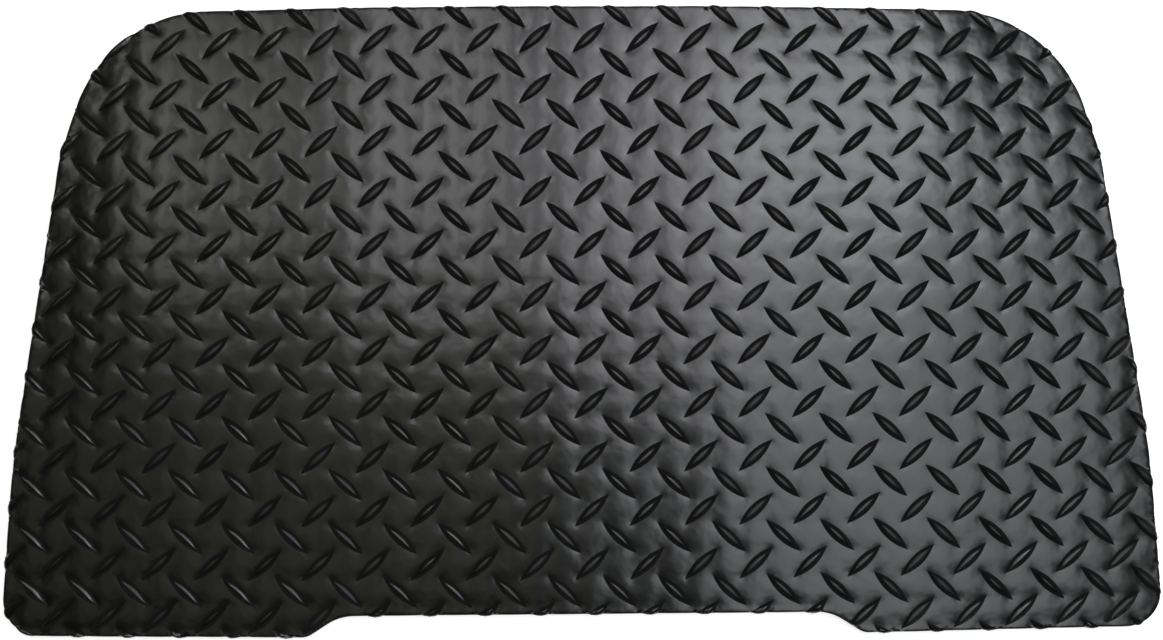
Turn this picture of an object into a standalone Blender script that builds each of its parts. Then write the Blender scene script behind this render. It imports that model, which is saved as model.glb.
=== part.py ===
"""Anti-fatigue mat: a moulded tread skin over a foam core, bonded onto a grip base.

Run it with: blender --background --python part.py
Units are metres and +Z is up. +X runs along the long edges and +Y points at the back edge, which has no
notch. The origin is on the floor, under the middle of the mat.
"""

import math

import bmesh
import bpy
from mathutils import Vector
from mathutils.geometry import delaunay_2d_cdt, intersect_point_line

# Overall size. The width follows from the outline's corners and is 0.824.
DEPTH = 0.4537
TOP_Z = 0.019
BAR_HEIGHT = 0.0022

# Right half of the outline, from the back to the notch in the front edge: the corner (x, y) that the
# straight runs would meet at, and the radius that rounds it.
BACK_Y = 0.2276
FRONT_Y = BACK_Y - DEPTH
BACK_SWEEP = 0.0048
FRONT_SWEEP = 0.0031
NOTCH_DEPTH = 0.0148
HALF_OUTLINE = (
    (0.12, BACK_Y, 4.0),
    (0.3438, BACK_Y - BACK_SWEEP, 0.102),
    (0.3770, 0.1178, 0.0845),
    (0.4069, -0.0991, 0.605),
    (0.4133, FRONT_Y + FRONT_SWEEP, 0.026),
    (0.1976, FRONT_Y, 0.0133),
    (0.1744, FRONT_Y + NOTCH_DEPTH, 0.0333),
)
ARC_STEP = math.radians(8)
SMALLEST_RADIUS = 0.001

# The rim rolls over a quarter ellipse, this far in plan and this far in height, onto an upright skirt.
RIM_RUN = 0.0018
RIM_DROP = 0.0022
RIM_ANGLES = [math.radians(angle) for angle in (90, 60, 30, 0)]
RIM_POINT_SPACING = 0.012

# Raised bars, in two crossed sets. Each set is a grid, and the second sits half a cell off the first.
PITCH_X = 0.03924
PITCH_Y = 0.03832
FIRST_BAR = (0.0045, 0.0154)
# Away from the middle of the pattern both grids draw together, by this share for each square metre of
# the distance squared.
PATTERN_MIDDLE = Vector((0.0064, -0.0478))
DRAW_IN = 0.19
COLUMNS_EACH_WAY = 12
ROWS_EACH_WAY = 8
BAR_LENGTH = 0.0334
BAR_WIDTH = 0.0083
BAR_ANGLE = math.radians(42.8)
SHOULDER = 0.25 * BAR_LENGTH
# Bars keep this part of their height at the edge of the outline, and all of it from this far inside.
EDGE_LIFT = 0.5
FADE_RUN = 0.004

# The stack, from the floor up, and the gap that each bonded piece keeps to the next.
GAP = 0.0003
FILM = 0.0005
SKIN_WALL = 0.0025
HOLLOW_CHAMFER = 0.0015
SKIRT_LIFT = 0.0005
BASE_THICKNESS = 0.002
BASE_CHAMFER = 0.0005
BEAD_WIDTH = 0.0025
FOAM_OFFSET = SKIN_WALL + GAP + FILM + GAP
FOAM_Z = BASE_THICKNESS + GAP + FILM + GAP
BASE_INSET = SKIN_WALL + GAP + BEAD_WIDTH + GAP

# Plan points closer than this are one point.
CLOSEST = 0.00001


def clear_scene():
    for leftover in list(bpy.data.objects):
        bpy.data.objects.remove(leftover, do_unlink=True)


def surface(name, colour, roughness):
    """A dielectric Principled material in one colour."""
    made = bpy.data.materials.new(name)
    made.use_nodes = True
    shader = made.node_tree.nodes["Principled BSDF"]
    shader.inputs["Base Color"].default_value = (*colour, 1)
    shader.inputs["Roughness"].default_value = roughness
    shader.inputs["Metallic"].default_value = 0
    return made


def outline(inset=0.0):
    """The mat's outline, counter-clockwise and moved inwards. Every inset has the same number of points."""
    left_half = [(-x, y, radius) for x, y, radius in HALF_OUTLINE]
    corners = left_half + list(reversed(HALF_OUTLINE))
    places = [Vector((x, y)) for x, y, _ in corners]
    points = []
    for index, (_, _, radius) in enumerate(corners):
        here = places[index]
        before = (here - places[index - 1]).normalized()
        after = (places[(index + 1) % len(places)] - here).normalized()
        turn = math.atan2(before.cross(after), before.dot(after))
        side = math.copysign(1, turn)
        inward_before = Vector((-before.y, before.x))
        inward_after = Vector((-after.y, after.x))
        moved = here + inset * (inward_before + inward_after) / (1 + inward_before.dot(inward_after))
        rounding = max(radius - side * inset, SMALLEST_RADIUS)
        start = moved - before * rounding * math.tan(abs(turn) / 2)
        centre = start + side * rounding * inward_before
        spoke = start - centre
        steps = math.ceil(abs(turn) / ARC_STEP)
        for step in range(steps + 1):
            angle = turn * step / steps
            points.append(centre + Vector((
                spoke.x * math.cos(angle) - spoke.y * math.sin(angle),
                spoke.x * math.sin(angle) + spoke.y * math.cos(angle),
            )))
    return points


OUTLINE = outline()


def nearest_edge(place):
    """How far inside the outline a plan point is, negative outside it, and the way out of the mat."""
    best = None
    for index, start in enumerate(OUTLINE):
        end = OUTLINE[(index + 1) % len(OUTLINE)]
        foot, along = intersect_point_line(place, start, end)
        foot = start.lerp(end, min(max(along, 0), 1))
        away = (place - foot).length
        if best is None or away < best[0]:
            run = (end - start).normalized()
            outward = Vector((run.y, -run.x))
            best = (away, outward, (place - foot).dot(outward) > 0)
    away, outward, outside = best
    return (-away if outside else away), outward


def bar_profile(along, across):
    """Height of one bar: a ridge that falls to straight flanks, and past each shoulder to a pointed end."""
    taper = min(1, (BAR_LENGTH / 2 - abs(along)) / (BAR_LENGTH / 2 - SHOULDER))
    if taper <= 0:
        return 0
    return BAR_HEIGHT * taper * max(0, 1 - abs(across) / (taper * BAR_WIDTH / 2))


def bar_sets():
    """The two crossed sets of bars: the first bar's centre and the way the bars point."""
    x, y = FIRST_BAR
    yield (x, y), BAR_ANGLE
    yield (x + PITCH_X / 2, y - PITCH_Y / 2), -BAR_ANGLE


def drawn_in(place):
    """Where a point of the even grid lies on the mat."""
    away = place - PATTERN_MIDDLE
    return PATTERN_MIDDLE + away * (1 - DRAW_IN * away.length_squared)


def on_grid(place):
    """Where a point of the mat lies on the even grid."""
    even = place
    for _ in range(5):
        squeeze = 1 - DRAW_IN * (even - PATTERN_MIDDLE).length_squared
        even = PATTERN_MIDDLE + (place - PATTERN_MIDDLE) / squeeze
    return even


def bar_lift(place):
    """How far the bars raise the skin at a plan point."""
    highest = 0
    even = on_grid(place)
    for (x, y), angle in bar_sets():
        column = round((even.x - x) / PITCH_X)
        row = round((even.y - y) / PITCH_Y)
        offset = place - drawn_in(Vector((x + column * PITCH_X, y + row * PITCH_Y)))
        along = offset.x * math.cos(angle) + offset.y * math.sin(angle)
        across = offset.y * math.cos(angle) - offset.x * math.sin(angle)
        highest = max(highest, bar_profile(along, across))
    return highest


def on_skin(place, lift):
    """The skin's outer surface over a plan point, raised along its normal, and less so near the rim."""
    inside, outward = nearest_edge(place)
    lift *= EDGE_LIFT + (1 - EDGE_LIFT) * min(max(inside / FADE_RUN, 0), 1)
    angle = math.asin(min(max((RIM_RUN - inside) / RIM_RUN, 0), 1))
    height = TOP_Z - RIM_DROP * (1 - math.cos(angle))
    sideways = outward * RIM_DROP * math.sin(angle)
    normal = Vector((sideways.x, sideways.y, RIM_RUN * math.cos(angle))).normalized()
    return Vector((place.x, place.y, height)) + normal * lift


def bar_outlines():
    """Six corners and two ridge points for every bar that reaches inside the outline."""
    for (x, y), angle in bar_sets():
        lengthwise = Vector((math.cos(angle), math.sin(angle)))
        crosswise = Vector((-lengthwise.y, lengthwise.x))
        columns = range(-COLUMNS_EACH_WAY, COLUMNS_EACH_WAY)
        rows = range(-ROWS_EACH_WAY, ROWS_EACH_WAY)
        even_centres = (Vector((x + i * PITCH_X, y + j * PITCH_Y)) for i in columns for j in rows)
        for centre in map(drawn_in, even_centres):
            tip = lengthwise * BAR_LENGTH / 2
            shoulder = lengthwise * SHOULDER
            half = crosswise * BAR_WIDTH / 2
            corners = (tip, shoulder + half, half - shoulder, -tip, -shoulder - half, shoulder - half)
            corners = [centre + corner for corner in corners]
            if any(nearest_edge(corner)[0] > 0 for corner in corners):
                yield corners, [centre + shoulder, centre - shoulder]


def skin_plan():
    """Plan points and fixed edges of the skin's outer surface."""
    points = list(OUTLINE)
    edges = [(i, (i + 1) % len(OUTLINE)) for i in range(len(OUTLINE))]
    for corners, ridge in bar_outlines():
        first = len(points)
        points += corners + ridge
        edges += [(first + i, first + (i + 1) % 6) for i in range(6)]
        edges += [(first, first + 6), (first + 6, first + 7), (first + 7, first + 3)]
    for angle in RIM_ANGLES[1:]:
        ring = outline(RIM_RUN * (1 - math.sin(angle)))
        for start, end in zip(ring, ring[1:] + ring[:1]):
            steps = math.ceil((end - start).length / RIM_POINT_SPACING)
            spots = (start.lerp(end, step / steps) for step in range(steps))
            points += [spot for spot in spots if bar_lift(spot) == 0]
    return points, edges


def rings_of(bm, profile):
    """Rings of vertices, one for each (inset, height), joined by bands of faces."""
    rings = [
        [bm.verts.new((place.x, place.y, height)) for place in outline(inset)] for inset, height in profile
    ]
    for lower, upper in zip(rings, rings[1:]):
        for i in range(len(lower)):
            j = (i + 1) % len(lower)
            bm.faces.new((lower[i], lower[j], upper[j], upper[i]))
    return rings


def shoulder_profile(offset):
    """(inset, height) round the chamfered shoulder of a surface this far under the skin's outside."""
    top = TOP_Z - offset
    return [(offset, top - HOLLOW_CHAMFER), (offset + HOLLOW_CHAMFER, top)]


def finished(name, bm, material, parent):
    """An object from a closed mesh, with its faces turned outwards and its smooth faces shaded so."""
    bmesh.ops.triangulate(bm, faces=bm.faces[:])
    bmesh.ops.recalc_face_normals(bm, faces=bm.faces[:])
    mesh = bpy.data.meshes.new(name)
    bm.to_mesh(mesh)
    bm.free()
    mesh.shade_smooth()
    mesh.set_sharp_from_angle(angle=math.radians(25))
    mesh.materials.append(material)
    made = bpy.data.objects.new(name, mesh)
    made.parent = parent
    bpy.context.collection.objects.link(made)
    return made


def tread_skin(material, parent):
    """The moulded skin: barred top, tight rolled rim, upright skirt, and a plain hollow underneath."""
    bm = bmesh.new()
    points, edges = skin_plan()
    plan, _, triangles, *_ = delaunay_2d_cdt(points, edges, [], 0, CLOSEST)
    verts = [bm.verts.new(on_skin(place, bar_lift(place))) for place in plan]
    for triangle in triangles:
        middle = sum((plan[i] for i in triangle), Vector((0, 0))) / 3
        if nearest_edge(middle)[0] > 0:
            bm.faces.new([verts[i] for i in triangle])
    place_of = dict(zip(verts, plan))
    rim = [edge for edge in bm.edges if edge.is_boundary]
    feet = {
        vert: bm.verts.new((*place_of[vert], SKIRT_LIFT))
        for vert in dict.fromkeys(vert for edge in rim for vert in edge.verts)
    }
    for edge in rim:
        start, end = edge.verts
        bm.faces.new((start, end, feet[end], feet[start]))
    for vert in verts:
        if not vert.link_faces:
            bm.verts.remove(vert)
    inner = rings_of(bm, [(SKIN_WALL, SKIRT_LIFT)] + shoulder_profile(SKIN_WALL))
    bm.faces.new(inner[-1])
    hem = [edge for edge in bm.edges if edge.is_boundary]
    bmesh.ops.triangle_fill(bm, edges=hem, normal=(0, 0, -1), use_beauty=True)
    return finished("tread_skin", bm, material, parent)


def capped(name, profile, material, parent):
    """A solid swept round the mat through (inset, height) rings and closed across its first and last."""
    bm = bmesh.new()
    rings = rings_of(bm, profile)
    bm.faces.new(rings[0])
    bm.faces.new(rings[-1])
    return finished(name, bm, material, parent)


def skin_bond_film(material, parent):
    """Adhesive that lines the skin's hollow."""
    outer = shoulder_profile(SKIN_WALL + GAP)
    inner = shoulder_profile(SKIN_WALL + GAP + FILM)
    profile = outer[::-1] + [(outer[0][0], FOAM_Z), (inner[0][0], FOAM_Z)] + inner
    return capped("skin_bond_film", profile, material, parent)


def foam_core(material, parent):
    """Cushioning slab that fills the skin down to the base."""
    profile = [(FOAM_OFFSET, FOAM_Z)] + shoulder_profile(FOAM_OFFSET)
    return capped("foam_core", profile, material, parent)


def base_bond_film(material, parent):
    """Adhesive between the foam and the base."""
    profile = [(BASE_INSET, BASE_THICKNESS + GAP), (BASE_INSET, BASE_THICKNESS + GAP + FILM)]
    return capped("base_bond_film", profile, material, parent)


def grip_base(material, parent):
    """Non-slip sheet that the mat stands on, with a small chamfer round its underside."""
    profile = [
        (BASE_INSET + BASE_CHAMFER, 0),
        (BASE_INSET, BASE_CHAMFER),
        (BASE_INSET, BASE_THICKNESS),
    ]
    return capped("grip_base", profile, material, parent)


def rim_bond_bead(material, parent):
    """Bead of adhesive that closes the skirt onto the edge of the base."""
    outside = SKIN_WALL + GAP
    inside = outside + BEAD_WIDTH
    top = FOAM_Z - GAP
    bm = bmesh.new()
    rings_of(bm, [(outside, SKIRT_LIFT), (outside, top), (inside, top), (inside, SKIRT_LIFT)])
    bmesh.ops.bridge_loops(bm, edges=[edge for edge in bm.edges if edge.is_boundary])
    return finished("rim_bond_bead", bm, material, parent)


def build():
    clear_scene()
    mat = bpy.data.objects.new("anti_fatigue_mat", None)
    bpy.context.collection.objects.link(mat)
    adhesive = surface("cured_adhesive", (0.55, 0.50, 0.38), 0.5)
    tread_skin(surface("moulded_skin", (0.012, 0.012, 0.012), 0.42), mat)
    skin_bond_film(adhesive, mat)
    foam_core(surface("cushion_foam", (0.05, 0.05, 0.055), 0.95), mat)
    base_bond_film(adhesive, mat)
    rim_bond_bead(adhesive, mat)
    grip_base(surface("grip_rubber", (0.01, 0.01, 0.01), 0.75), mat)


build()
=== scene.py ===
"""The looks of the anti-fatigue mat: a satin black tread skin on a cushion pad and a studded grip base.

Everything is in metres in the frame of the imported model: +X along the long edges, +Y towards the back
edge, away from the notch, +Z up, with the floor at zero.
"""

import math

import bmesh
import bpy
import numpy as np
from mathutils import Euler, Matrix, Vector
from mathutils.geometry import delaunay_2d_cdt


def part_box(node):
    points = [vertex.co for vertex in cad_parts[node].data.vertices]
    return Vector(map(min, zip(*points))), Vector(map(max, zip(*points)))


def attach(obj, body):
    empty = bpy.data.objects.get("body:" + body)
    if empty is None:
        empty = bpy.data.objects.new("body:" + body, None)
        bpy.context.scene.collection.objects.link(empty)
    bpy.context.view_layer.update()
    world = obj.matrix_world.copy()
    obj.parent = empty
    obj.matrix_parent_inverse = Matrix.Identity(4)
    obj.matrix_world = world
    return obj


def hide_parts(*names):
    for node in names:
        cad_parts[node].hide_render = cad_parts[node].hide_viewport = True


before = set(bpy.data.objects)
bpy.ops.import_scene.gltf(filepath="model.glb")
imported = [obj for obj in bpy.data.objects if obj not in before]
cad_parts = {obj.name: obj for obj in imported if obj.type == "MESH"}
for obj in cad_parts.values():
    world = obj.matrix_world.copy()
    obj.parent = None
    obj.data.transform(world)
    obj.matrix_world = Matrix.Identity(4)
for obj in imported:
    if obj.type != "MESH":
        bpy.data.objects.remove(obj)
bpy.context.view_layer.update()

BODY = "root"
SKIN_LOW, SKIN_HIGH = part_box("tread_skin")
FOAM_LOW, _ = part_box("foam_core")
BASE_LOW, BASE_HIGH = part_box("grip_base")

# Right half of the outline, from the back to the notch in the front edge: the corner (x, y) that the
# straight runs would meet at, and the radius that rounds it. The long edges draw back towards the corners
# by their sweeps.
BACK_Y = 0.2276
FRONT_Y = -0.2261
BACK_SWEEP = 0.0048
FRONT_SWEEP = 0.0031
NOTCH_DEPTH = 0.0148
HALF_OUTLINE = (
    (0.12, BACK_Y, 4.0),
    (0.3438, BACK_Y - BACK_SWEEP, 0.102),
    (0.3770, 0.1178, 0.0845),
    (0.4069, -0.0991, 0.605),
    (0.4133, FRONT_Y + FRONT_SWEEP, 0.026),
    (0.1976, FRONT_Y, 0.0133),
    (0.1744, FRONT_Y + NOTCH_DEPTH, 0.0333),
)
SMALLEST_RADIUS = 0.001

# Raised bars: two crossed grids, the second half a cell off the first. Away from the middle of the pattern
# both grids draw together, by a share that grows with the square of the distance (DRAW_IN at one metre).
# Each grid runs GRID_REACH cells both ways, and its inverse is found in a few passes.
PITCH = np.array((0.03924, 0.03832))
FIRST_BAR = np.array((0.0045, 0.0154))
PATTERN_MIDDLE = np.array((0.0064, -0.0478))
DRAW_IN = 0.19
BAR_ANGLE = math.radians(42.8)
BAR_LENGTH = 0.0334
BAR_WIDTH = 0.0083
BAR_HEIGHT = 0.0022
BAR_SETS = ((FIRST_BAR, BAR_ANGLE), (FIRST_BAR + (PITCH[0] / 2, -PITCH[1] / 2), -BAR_ANGLE))
GRID_REACH = 12
INVERSE_PASSES = 5

# A bar's section: the width of its flanks, how full they are, and the share of height the crest loses by
# the tips.
FLANK_RUN = 0.0038
FLANK_POWER = 1.58
CREST_BOW = 0.30

# At the outline the relief keeps a share of its height, and has all of it this far inside.
EDGE_LIFT = 0.5
FADE_RUN = 0.004

# The web sinks a little towards the foot of each bar, most at the tips. The foot counts as ending at
# TIP_START, a share of the bar's length from its middle.
SINK_DEPTH = 0.00090
SINK_RUN = 0.0055
MID_SINK = 0.4
TIP_START = 0.42

# Long waves that make the slab very slightly uneven: size, length and heading in degrees.
WAVES = (
    (0.00036, 0.140, 0),
    (0.00010, 0.190, 20),
    (0.00006, 0.105, 130),
    (0.00005, 0.078, 165),
    (0.00004, 0.060, 48),
)

# The rim: a tight quarter ellipse onto an upright skirt with a rounded foot. Bars that cross the outline
# bulge the skirt, down to BULGE_END of its height. The skirt's rows are shares of its height too.
TOP_Z = SKIN_HIGH[2] - BAR_HEIGHT
RIM_RUN = 0.0018
RIM_DROP = 0.0022
SKIN_WALL = 0.0025
HOLLOW_CHAMFER = 0.0015
FOOT_RADIUS = 0.0012
FOOT_ANGLES = np.radians((0, 30, 60, 90))
BULGE_END = 0.4
SKIRT_SHARES = (0.06, 0.14, 0.25, BULGE_END)

# The pad's lower edge: how far its easing reaches in and up, and how far the wall leans in.
PAD_EASE = 0.0012
PAD_EASE_HEIGHT = 0.0008
PAD_LEAN = 0.0004

# The base: a plain border with eased corners, sloping up to the sheet that carries the studs. A stud's
# profile is (share of radius, share of height), from the sheet down.
BORDER_TOP = 0.0070
BORDER_WIDTH = 0.0065
BORDER_EASE = 0.0006
STUD_STEP = 0.0125
STUD_RADIUS = 0.0034
STUD_HEIGHT = 0.0007
STUD_SIDES = 10
STUD_CLEARANCE = 1.5
STUD_PROFILE = ((1, 1), (0.88, 0.2), (0.74, 0))

# Spacing of the mesh: the web, the outline, and the rows of points over the rim. Loose points keep these
# clearances from the outline and from the bars.
WEB_STEP = 0.0036
WEB_CLEARANCE = WEB_STEP / 3
EDGE_STEP = 0.0036
EDGE_CLEARANCE = 0.0002
ARC_STEP = math.radians(3)
RIM_ANGLES = np.radians((64, 42, 21, 0))

# A bar's points: stations along it, rows from its crown (0) to its foot (1), the least half width of the
# crown as a share of the foot's, and loops of points this far outside the foot. A loop's point goes where
# another bar is nearer than FILLET_SPARE of the first loop's distance.
BAR_STATIONS = 11
BAR_RINGS = (0, 0.28, 0.62, 1)
RIDGE_SHARE = 0.1
FILLET_RINGS = (0.0007, 0.0019)
FILLET_POINTS = 26
FILLET_SPARE = 0.8

# Tolerances.
ON_EDGE = 1e-4
CLOSEST = 1e-6
SHARP_ANGLE = math.radians(30)


# ---------------------------------------------------------------- outline

def outline(inset=0.0, step=None):
    """The outline as an (n, 2) array, counter-clockwise and moved inwards, with long runs cut to step."""
    corners = [(-x, y, radius) for x, y, radius in HALF_OUTLINE] + list(reversed(HALF_OUTLINE))
    places = [Vector((x, y)) for x, y, _ in corners]
    points = []
    for index, (_, _, radius) in enumerate(corners):
        here = places[index]
        before = (here - places[index - 1]).normalized()
        after = (places[(index + 1) % len(places)] - here).normalized()
        turn = math.atan2(before.cross(after), before.dot(after))
        side = math.copysign(1, turn)
        inward_before = Vector((-before.y, before.x))
        inward_after = Vector((-after.y, after.x))
        moved = here + inset * (inward_before + inward_after) / (1 + inward_before.dot(inward_after))
        rounding = max(radius - side * inset, SMALLEST_RADIUS)
        start = moved - before * rounding * math.tan(abs(turn) / 2)
        centre = start + side * rounding * inward_before
        spoke = start - centre
        steps = math.ceil(abs(turn) / ARC_STEP)
        for angle in (turn * k / steps for k in range(steps + 1)):
            cosine, sine = math.cos(angle), math.sin(angle)
            turned = Vector((spoke.x * cosine - spoke.y * sine, spoke.x * sine + spoke.y * cosine))
            points.append(centre + turned)
    if step is None:
        return np.array(points)
    cut = []
    for start, end in zip(points, points[1:] + points[:1]):
        pieces = max(1, math.ceil((end - start).length / step))
        cut += [start.lerp(end, k / pieces) for k in range(pieces)]
    return np.array(cut)


EDGE = outline()


def nearest_edge(places):
    """How far inside the outline each plan point is, negative outside, and the way out of the mat there."""
    best = np.full(len(places), np.inf)
    inside = np.zeros(len(places))
    outward = np.zeros((len(places), 2))
    for start, end in zip(EDGE, np.roll(EDGE, -1, axis=0)):
        run = end - start
        normal = np.array((run[1], -run[0])) / np.linalg.norm(run)
        along = np.clip((places - start) @ run / (run @ run), 0, 1)
        away = places - start - along[:, None] * run
        distance = np.linalg.norm(away, axis=1)
        nearer = distance < best
        best[nearer] = distance[nearer]
        side = away[nearer] @ normal
        inside[nearer] = np.where(side > 0, -distance[nearer], distance[nearer])
        straight = away[nearer] / np.maximum(distance[nearer], CLOSEST)[:, None] * np.sign(side)[:, None]
        outward[nearer] = np.where(distance[nearer, None] > ON_EDGE, straight, normal)
    return inside, outward


# ---------------------------------------------------------------- tread

def drawn_in(places):
    """Where points of the even grid lie on the mat."""
    away = places - PATTERN_MIDDLE
    return PATTERN_MIDDLE + away * (1 - DRAW_IN * (away ** 2).sum(axis=-1, keepdims=True))


def on_grid(places):
    """Where points of the mat lie on the even grid."""
    even = places
    for _ in range(INVERSE_PASSES):
        squeeze = 1 - DRAW_IN * ((even - PATTERN_MIDDLE) ** 2).sum(axis=-1, keepdims=True)
        even = PATTERN_MIDDLE + (places - PATTERN_MIDDLE) / squeeze
    return even


NEIGHBOURS = [(i, j) for i in (-1, 0, 1) for j in (-1, 0, 1)]


def in_bar(places, even, first, angle, cell=(0, 0)):
    """Each place along and across the nearest bar of a set, or the bar some cells away from that one."""
    nearest = np.round((even - first) / PITCH) + np.array(cell)
    offset = places - drawn_in(first + PITCH * nearest)
    cosine, sine = math.cos(angle), math.sin(angle)
    return offset[:, 0] * cosine + offset[:, 1] * sine, offset[:, 1] * cosine - offset[:, 0] * sine


def half_width(along):
    """Half the width of a bar's foot: a pointed lens."""
    return BAR_WIDTH / 2 * np.maximum(1 - (2 * along / BAR_LENGTH) ** 2, 0)


def bar_height(places):
    """Height of the bars over the web: flanks rise from the foot to a narrow crown, or meet in a ridge."""
    height = np.zeros(len(places))
    even = on_grid(places)
    for first, angle in BAR_SETS:
        along, across = in_bar(places, even, first, angle)
        climb = np.clip((half_width(along) - np.abs(across)) / FLANK_RUN, 0, 1)
        crest = BAR_HEIGHT * (1 - CREST_BOW * (2 * along / BAR_LENGTH) ** 2)
        height = np.maximum(height, crest * (1 - (1 - climb) ** FLANK_POWER))
    return height


def from_foot(along, across):
    """Roughly how far a point is from a bar's foot."""
    past_end = np.maximum(np.abs(along) - TIP_START * BAR_LENGTH, 0)
    return np.maximum(np.hypot(past_end, across) - half_width(along), 0)


def bar_distance(places):
    """Distance from each plan point to the foot of the nearest bar."""
    even = on_grid(places)
    spots = [in_bar(places, even, first, angle, cell) for first, angle in BAR_SETS for cell in NEIGHBOURS]
    return np.min([from_foot(along, across) for along, across in spots], axis=0)


def sink(places):
    """How far the web dips near the bars."""
    dips = np.zeros(len(places))
    even = on_grid(places)
    for first, angle in BAR_SETS:
        for cell in NEIGHBOURS:
            along, across = in_bar(places, even, first, angle, cell)
            share = MID_SINK + (1 - MID_SINK) * np.clip(2 * along / BAR_LENGTH, -1, 1) ** 2
            dips += share * np.exp(-from_foot(along, across) / SINK_RUN)
    return SINK_DEPTH * dips


def unevenness(places):
    """Long shallow waves over the whole slab, never above the flat."""
    height = np.zeros(len(places))
    for size, length, heading in WAVES:
        heading = math.radians(heading)
        phase = (places[:, 0] * math.cos(heading) + places[:, 1] * math.sin(heading)) * 2 * math.pi / length
        height -= size * (1 + np.sin(phase + heading))
    return height


def on_skin(places):
    """The skin's outer surface over plan points."""
    inside, outward = nearest_edge(places)
    fade = EDGE_LIFT + (1 - EDGE_LIFT) * np.clip(inside / FADE_RUN, 0, 1)
    lift = (bar_height(places) - sink(places)) * fade
    angle = np.arcsin(np.clip((RIM_RUN - inside) / RIM_RUN, 0, 1))
    normal = np.c_[outward * (RIM_DROP * np.sin(angle))[:, None], RIM_RUN * np.cos(angle)]
    normal /= np.linalg.norm(normal, axis=1)[:, None]
    rest = np.c_[places, TOP_Z + unevenness(places) - RIM_DROP * (1 - np.cos(angle))]
    return rest + normal * lift[:, None]


def laid(spots, centre, angle):
    """Points given along and across a bar, at the bar's place on the mat."""
    cosine, sine = math.cos(angle), math.sin(angle)
    return centre + np.array(spots) @ np.array(((cosine, sine), (-sine, cosine)))


def bar_points(centre, angle):
    """Points over one bar, at its tips and in rows across it, and the edges of the loop round its foot."""
    points = [(-BAR_LENGTH / 2, 0), (BAR_LENGTH / 2, 0)]
    left_foot, right_foot = [], []
    for station in range(1, BAR_STATIONS):
        along = -BAR_LENGTH / 2 * math.cos(math.pi * station / BAR_STATIONS)
        width = float(half_width(np.array(along)))
        points.append((along, 0))
        crown = max(width - FLANK_RUN, RIDGE_SHARE * width)
        for ring in BAR_RINGS:
            across = crown + ring * (width - crown)
            points += [(along, across), (along, -across)]
        left_foot.append(len(points) - 2)
        right_foot.append(len(points) - 1)
    loop = [0] + right_foot + [1] + left_foot[::-1]
    return laid(points, centre, angle), list(zip(loop, loop[1:] + loop[:1]))


def fillet_points(centre, angle):
    """Loops of points just outside a bar's foot."""
    spots = []
    for away in FILLET_RINGS:
        for k in range(FILLET_POINTS):
            turn = 2 * math.pi * k / FILLET_POINTS
            along = (BAR_LENGTH / 2 + away) * math.cos(turn)
            side = math.copysign(1, math.sin(turn))
            spots.append((along, side * (float(half_width(np.array(along))) + away)))
    return laid(spots, centre, angle)


def staggered(low, high, step):
    """Plan points of a triangular grid between two ends of X, one row at a time from the front."""
    for row, y in enumerate(np.arange(FRONT_Y, BACK_Y, step * math.sqrt(3) / 2)):
        x = np.arange(low, high, step) + step / 2 * (row % 2)
        yield np.c_[x, np.full(len(x), y)]


def skin_plan():
    """Plan points of the skin's top, and the edges that its triangles have to keep."""
    border = outline(step=EDGE_STEP)
    points = [border]
    edges = [(k, (k + 1) % len(border)) for k in range(len(border))]
    count = len(border)
    loose = []
    reach = range(-GRID_REACH, GRID_REACH)
    cells = np.array([(i, j) for i in reach for j in reach])
    for first, angle in BAR_SETS:
        centres = drawn_in(first + PITCH * cells)
        for centre in centres[nearest_edge(centres)[0] > -BAR_LENGTH / 2]:
            spots, loop = bar_points(centre, angle)
            points.append(spots)
            edges += [(count + a, count + b) for a, b in loop]
            count += len(spots)
            loose.append(fillet_points(centre, angle))
    for angle in RIM_ANGLES:
        points.append(outline(RIM_RUN * (1 - math.sin(angle)), step=EDGE_STEP))
    for web in staggered(SKIN_LOW[0], SKIN_HIGH[0], WEB_STEP):
        off_rim = nearest_edge(web)[0] > RIM_RUN + WEB_CLEARANCE
        off_bars = bar_distance(web) > FILLET_RINGS[-1] + WEB_CLEARANCE
        points.append(web[off_rim & off_bars])
    loose = np.concatenate(loose)
    off_edge = nearest_edge(loose)[0] > EDGE_CLEARANCE
    off_bars = bar_distance(loose) > FILLET_RINGS[0] * FILLET_SPARE
    points.append(loose[off_edge & off_bars])
    return np.concatenate(points), edges


# ---------------------------------------------------------------- meshes

def add_rings(bm, rings):
    """Rings of vertices with the same count, joined by bands of faces."""
    made = [[bm.verts.new(place) for place in ring] for ring in rings]
    for lower, upper in zip(made, made[1:]):
        for k in range(len(lower)):
            bm.faces.new((lower[k - 1], lower[k], upper[k], upper[k - 1]))
    return made


def level(places, height):
    """Plan points at one height."""
    return np.c_[places, np.full(len(places), height)]


def shoulder_rings(offset):
    """The two rings of the chamfered shoulder of a surface this far under the skin's outside."""
    top = TOP_Z - offset
    return [level(outline(offset), top - HOLLOW_CHAMFER), level(outline(offset + HOLLOW_CHAMFER), top)]


def finished(name, bm, material, node):
    """A piece from a closed mesh, standing for a CAD node."""
    bmesh.ops.recalc_face_normals(bm, faces=bm.faces[:])
    mesh = bpy.data.meshes.new(name)
    bm.to_mesh(mesh)
    bm.free()
    mesh.shade_smooth()
    mesh.set_sharp_from_angle(angle=SHARP_ANGLE)
    mesh.materials.append(material)
    piece = bpy.data.objects.new(name, mesh)
    bpy.context.collection.objects.link(piece)
    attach(piece, BODY)
    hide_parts(node)
    return piece


def skirt_rows():
    """Share of the skirt's height and how far it tucks in, from under the rim to the rounded foot."""
    height = TOP_Z - RIM_DROP - SKIN_LOW[2]
    rows = [(share, 0) for share in SKIRT_SHARES]
    for angle in FOOT_ANGLES:
        rows.append((1 - FOOT_RADIUS * (1 - math.sin(angle)) / height, FOOT_RADIUS * (1 - math.cos(angle))))
    return rows


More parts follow.
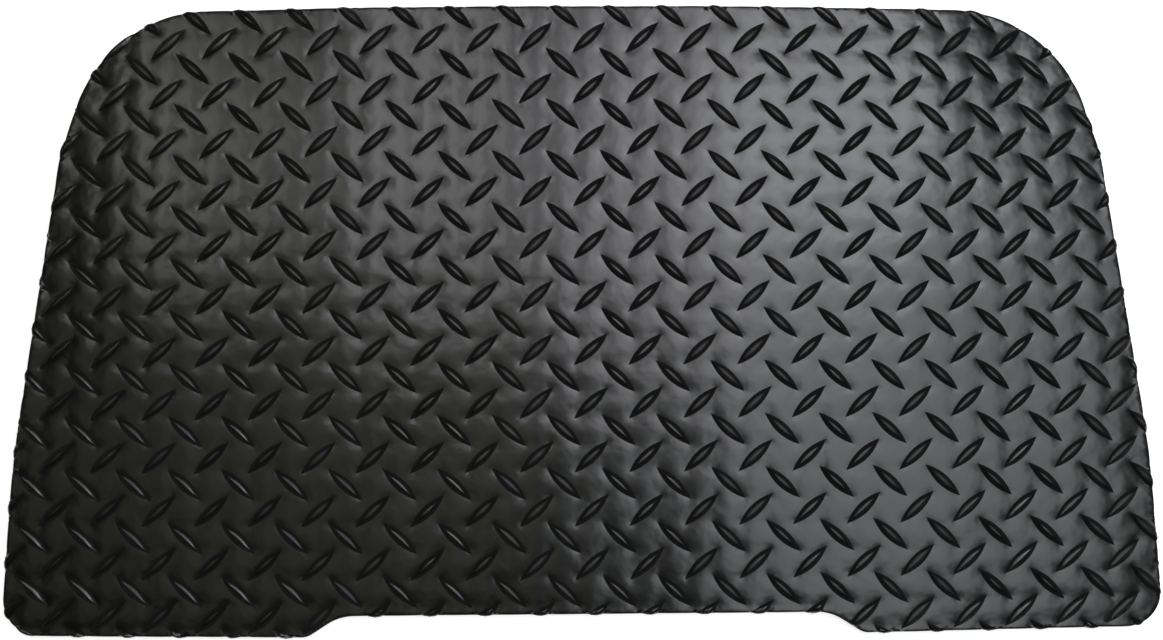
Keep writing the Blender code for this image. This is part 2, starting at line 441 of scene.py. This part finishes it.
def barred_skin(material):
    """The moulded skin: barred top, rolled rim, skirt, and the plain hollow that the cushion fills."""
    points, edges = skin_plan()
    plan, _, triangles, *_ = delaunay_2d_cdt([Vector(p) for p in points], edges, [], 0, CLOSEST)
    plan = np.array([tuple(place) for place in plan])
    triangles = np.array(triangles)
    inside, outward = nearest_edge(plan)
    kept = inside[triangles].min(axis=1) > -2 * CLOSEST
    on_edge = np.flatnonzero(kept & (inside[triangles].max(axis=1) < 2 * CLOSEST))
    kept[on_edge] = nearest_edge(plan[triangles[on_edge]].mean(axis=1))[0] > 0
    triangles = triangles[kept]
    used = np.unique(triangles)
    top = on_skin(plan)

    bm = bmesh.new()
    verts = {k: bm.verts.new(top[k]) for k in used.tolist()}
    key = {vert: k for k, vert in verts.items()}
    for triangle in triangles.tolist():
        bm.faces.new([verts[k] for k in triangle])
    border = [edge for edge in bm.edges if edge.is_boundary]
    steps = [(key[loop.vert], key[loop.link_loop_next.vert]) for edge in border for loop in edge.link_loops]
    above = {k: verts[k] for step in steps for k in step}
    for share, tuck in skirt_rows():
        row = {}
        for k in above:
            flat = plan[k] - outward[k] * tuck
            bulge = (top[k][:2] - plan[k]) * max(0, 1 - share / BULGE_END) ** 2
            height = top[k][2] + (SKIN_LOW[2] - top[k][2]) * share
            row[k] = bm.verts.new((*(flat + bulge), height))
        for a, b in steps:
            bm.faces.new((above[b], above[a], row[a], row[b]))
        above = row
    inner = add_rings(bm, [level(outline(SKIN_WALL), SKIN_LOW[2])] + shoulder_rings(SKIN_WALL))
    bm.faces.new(inner[-1])
    hem = [edge for edge in bm.edges if edge.is_boundary]
    bmesh.ops.triangle_fill(bm, edges=hem, normal=(0, 0, -1), use_beauty=True)
    return finished("barred_skin", bm, material, "tread_skin")


def cushion_pad(material):
    """The foam slab that fills the skin down to the base, with eased edges."""
    offset = float(FOAM_LOW[0] - EDGE[:, 0].min())
    bm = bmesh.new()
    rings = add_rings(bm, [
        level(outline(offset + PAD_EASE), FOAM_LOW[2]),
        level(outline(offset + PAD_LEAN), FOAM_LOW[2] + PAD_EASE_HEIGHT),
        *shoulder_rings(offset),
    ])
    bm.faces.new(rings[0])
    bm.faces.new(rings[-1])
    piece = finished("cushion_pad", bm, material, "foam_core")
    return piece


def studded_base(material):
    """The grip sheet: low round studs on its underside, in staggered rows, inside a plain border."""
    inset = float(BASE_LOW[0] - EDGE[:, 0].min())
    low, high = BASE_LOW[2], BASE_HIGH[2]
    sheet = low + STUD_HEIGHT
    bm = bmesh.new()
    rings = add_rings(bm, [
        level(outline(inset + BORDER_TOP), sheet),
        level(outline(inset + BORDER_WIDTH), low),
        level(outline(inset + BORDER_EASE), low),
        level(outline(inset), low + BORDER_EASE),
        level(outline(inset), high),
    ])
    bm.faces.new(rings[-1])
    turns = np.arange(STUD_SIDES) * 2 * math.pi / STUD_SIDES
    circle = np.c_[np.cos(turns), np.sin(turns)]
    for spots in staggered(BASE_LOW[0], BASE_HIGH[0], STUD_STEP):
        for spot in spots[nearest_edge(spots)[0] > inset + BORDER_TOP + STUD_RADIUS * STUD_CLEARANCE]:
            stud = add_rings(bm, [
                level(spot + circle * STUD_RADIUS * wide, low + STUD_HEIGHT * tall)
                for wide, tall in STUD_PROFILE
            ])
            bm.faces.new(stud[-1])
    holes = [edge for edge in bm.edges if edge.is_boundary]
    bmesh.ops.triangle_fill(bm, edges=holes, normal=(0, 0, -1), use_beauty=True)
    return finished("studded_base", bm, material, "grip_base")


# ---------------------------------------------------------------- materials

# How much duller the crowns of the bars are than the web, and the heights over the web where that comes in.
CROWN_ROUGHNESS = 0.27
CROWN_START = 0.0003
CROWN_END = 0.0011


class Nodes:
    """A node material's tree, with short ways to add and join nodes."""

    def __init__(self, name):
        self.material = bpy.data.materials.new(name)
        self.material.use_nodes = True
        self.tree = self.material.node_tree
        self.shader = self.tree.nodes["Principled BSDF"]
        self.place = self.add("ShaderNodeTexCoord").outputs["Object"]

    def add(self, kind, **values):
        node = self.tree.nodes.new(kind)
        for name, value in values.items():
            setattr(node, name, value)
        return node

    def join(self, start, end):
        self.tree.links.new(start, end)

    def noise(self, size, detail=2.0, roughness=0.5):
        """Noise whose features are about size metres across."""
        node = self.add("ShaderNodeTexNoise")
        node.inputs["Scale"].default_value = 1 / size
        node.inputs["Detail"].default_value = detail
        node.inputs["Roughness"].default_value = roughness
        self.join(self.place, node.inputs["Vector"])
        return node.outputs["Fac"]

    def spread(self, value, low, high, start=0.3, end=0.7):
        """A value's range from start to end, spread over low to high."""
        node = self.add("ShaderNodeMapRange")
        for name, number in (("From Min", start), ("From Max", end), ("To Min", low), ("To Max", high)):
            node.inputs[name].default_value = number
        self.join(value, node.inputs["Value"])
        return node.outputs["Result"]

    def colour_by(self, value, dark, light):
        """The surface's colour, mixed from two by a noise."""
        node = self.add("ShaderNodeMix", data_type="RGBA")
        node.inputs[6].default_value = (*dark, 1)
        node.inputs[7].default_value = (*light, 1)
        self.join(self.spread(value, 0, 1), node.inputs["Factor"])
        self.join(node.outputs[2], self.shader.inputs["Base Color"])

    def bump(self, value, depth, normal=None):
        """Relief of this depth in metres, over any relief before it."""
        node = self.add("ShaderNodeBump")
        node.inputs["Strength"].default_value = 1
        node.inputs["Distance"].default_value = depth
        self.join(value, node.inputs["Height"])
        if normal is not None:
            self.join(normal, node.inputs["Normal"])
        return node.outputs["Normal"]


def satin_rubber():
    """Black moulded skin: fine grain and a cloudy gloss, duller over the bars."""
    n = Nodes("satin_rubber")
    cloud = n.noise(0.045, detail=3)
    n.colour_by(cloud, (0.0036, 0.0042, 0.0031), (0.0048, 0.0055, 0.0042))
    height = n.add("ShaderNodeSeparateXYZ")
    n.join(n.place, height.inputs["Vector"])
    crown = n.spread(height.outputs["Z"], 0, CROWN_ROUGHNESS, TOP_Z + CROWN_START, TOP_Z + CROWN_END)
    roughness = n.add("ShaderNodeMath", operation="ADD")
    n.join(n.spread(cloud, 0.22, 0.25), roughness.inputs[0])
    n.join(crown, roughness.inputs[1])
    n.join(roughness.outputs["Value"], n.shader.inputs["Roughness"])
    drift = n.bump(n.noise(0.017, detail=2), 0.00046)
    grain = n.bump(n.noise(0.0009, detail=2), 0.000010, drift)
    n.join(grain, n.shader.inputs["Normal"])
    return n.material


def closed_cell_foam():
    """Charcoal foam with fine cells."""
    n = Nodes("closed_cell_foam")
    cells = n.noise(0.0012, detail=3, roughness=0.7)
    n.colour_by(cells, (0.030, 0.030, 0.033), (0.065, 0.065, 0.070))
    n.join(n.spread(n.noise(0.02), 0.85, 0.97), n.shader.inputs["Roughness"])
    n.join(n.bump(cells, 0.0002), n.shader.inputs["Normal"])
    return n.material


def cured_adhesive():
    """Honey-coloured adhesive with brush marks."""
    n = Nodes("cured_adhesive_look")
    streak = n.noise(0.006, detail=4)
    n.colour_by(streak, (0.42, 0.36, 0.24), (0.60, 0.54, 0.42))
    n.join(n.spread(streak, 0.35, 0.6), n.shader.inputs["Roughness"])
    n.join(n.bump(streak, 0.0002), n.shader.inputs["Normal"])
    return n.material


def grip_rubber():
    """Matt black rubber with a dry, slightly dusty grain."""
    n = Nodes("grip_rubber_look")
    dust = n.noise(0.03, detail=4)
    n.colour_by(dust, (0.010, 0.010, 0.010), (0.020, 0.020, 0.019))
    n.join(n.spread(dust, 0.62, 0.78), n.shader.inputs["Roughness"])
    n.join(n.bump(n.noise(0.0006, detail=2), 0.00003), n.shader.inputs["Normal"])
    return n.material


# ---------------------------------------------------------------- studio

FLOOR_RADIUS = 12
FLOOR_SIDES = 96
FLOOR_SHADE = 0.8
FLOOR_GLOW = 0.8


def studio_floor():
    """A plain white floor that glows a little, so that it stays even."""
    n = Nodes("studio_floor")
    n.shader.inputs["Base Color"].default_value = (FLOOR_SHADE, FLOOR_SHADE, FLOOR_SHADE, 1)
    n.shader.inputs["Roughness"].default_value = 0.9
    n.shader.inputs["Emission Color"].default_value = (1, 1, 1, 1)
    n.shader.inputs["Emission Strength"].default_value = FLOOR_GLOW
    bpy.ops.mesh.primitive_circle_add(vertices=FLOOR_SIDES, radius=FLOOR_RADIUS, fill_type="NGON")
    floor = bpy.context.object
    floor.name = "studio_floor"
    floor.data.materials.append(n.material)


# Softboxes in one level plane over the mat: name, middle (x, y), size, radiance and colour.
SOFTBOX_Z = 1.6
SOFTBOXES = (
    ("key_softbox", 0.51, 0.465, (0.47, 0.34), 7.6, (0.97, 1.0, 1.05)),
    ("back_softbox", 0.26, 0.45, (0.46, 0.89), 4.4, (1.0, 0.985, 1.04)),
    ("back_strip", -0.25, 0.50, (0.16, 0.76), 7.0, (1.01, 0.985, 1.02)),
    ("left_strip", -0.67, 0.44, (0.13, 0.56), 5.5, (1.0, 1.0, 0.92)),
    ("side_softbox", 0.61, -0.05, (0.75, 0.92), 3.15, (0.95, 1.0, 1.03)),
    ("fill_strip_1", -0.86, -0.20, (0.16, 0.56), 0.74, (0.95, 1.0, 0.72)),
    ("fill_strip_2", -0.52, -0.24, (0.16, 0.56), 0.86, (0.95, 1.0, 0.72)),
    ("fill_strip_3", -0.20, -0.20, (0.14, 0.56), 0.98, (0.95, 1.0, 0.72)),
)


def softbox(name, place, size, radiance, colour):
    """A level rectangular area light with an even radiance, facing down."""
    light = bpy.data.lights.new(name, "AREA")
    light.shape = "RECTANGLE"
    light.size, light.size_y = size
    light.energy = radiance * size[0] * size[1] * math.pi
    light.color = colour
    lamp = bpy.data.objects.new(name, light)
    lamp.location = place
    bpy.context.collection.objects.link(lamp)


# The sky's glow low down and high up, and the heights (as the sine of the elevation) that it fades between.
LOW_GLOW = 0.15
HIGH_GLOW = 0.03
LOW_SKY = 0.10
HIGH_SKY = 0.75


def studio_lights():
    """A dim sky and the softboxes."""
    world = bpy.data.worlds.new("studio_world")
    world.use_nodes = True
    tree = world.node_tree
    background = tree.nodes["Background"]
    background.inputs["Color"].default_value = (1, 1, 1, 1)
    direction = tree.nodes.new("ShaderNodeTexCoord")
    split = tree.nodes.new("ShaderNodeSeparateXYZ")
    glow = tree.nodes.new("ShaderNodeMapRange")
    glow.interpolation_type = "SMOOTHSTEP"
    glow.inputs["From Min"].default_value = LOW_SKY
    glow.inputs["From Max"].default_value = HIGH_SKY
    glow.inputs["To Min"].default_value = LOW_GLOW
    glow.inputs["To Max"].default_value = HIGH_GLOW
    tree.links.new(direction.outputs["Generated"], split.inputs["Vector"])
    tree.links.new(split.outputs["Z"], glow.inputs["Value"])
    tree.links.new(glow.outputs["Result"], background.inputs["Strength"])
    bpy.context.scene.world = world
    for name, x, y, size, radiance, colour in SOFTBOXES:
        softbox(name, (x, y, SOFTBOX_Z), size, radiance, colour)


# The camera is nearly straight above the mat, a little to its front: its place, turn in degrees and lens.
CAMERA_PLACE = (-0.02195, -0.06585, TOP_Z + 1.0736)
CAMERA_TURN = (3.421, -1.044, -0.367)
FOCAL_LENGTH = 46.43
SENSOR_WIDTH = 36


def studio_camera():
    """The camera, with the mat filling its view."""
    lens = bpy.data.cameras.new("studio_camera")
    lens.lens = FOCAL_LENGTH
    lens.sensor_width = SENSOR_WIDTH
    lens.clip_start = 0.01
    camera = bpy.data.objects.new("studio_camera", lens)
    camera.location = CAMERA_PLACE
    camera.rotation_euler = Euler([math.radians(angle) for angle in CAMERA_TURN])
    bpy.context.collection.objects.link(camera)
    bpy.context.scene.camera = camera


# ---------------------------------------------------------------- scene

bpy.context.scene.view_settings.view_transform = "Standard"
studio_floor()
studio_lights()
studio_camera()

barred_skin(satin_rubber())
cushion_pad(closed_cell_foam())
studded_base(grip_rubber())
adhesive = cured_adhesive()
for node in ("skin_bond_film", "base_bond_film", "rim_bond_bead"):
    bpy.data.objects[node].material_slots[0].material = adhesive

bpy.context.view_layer.update()
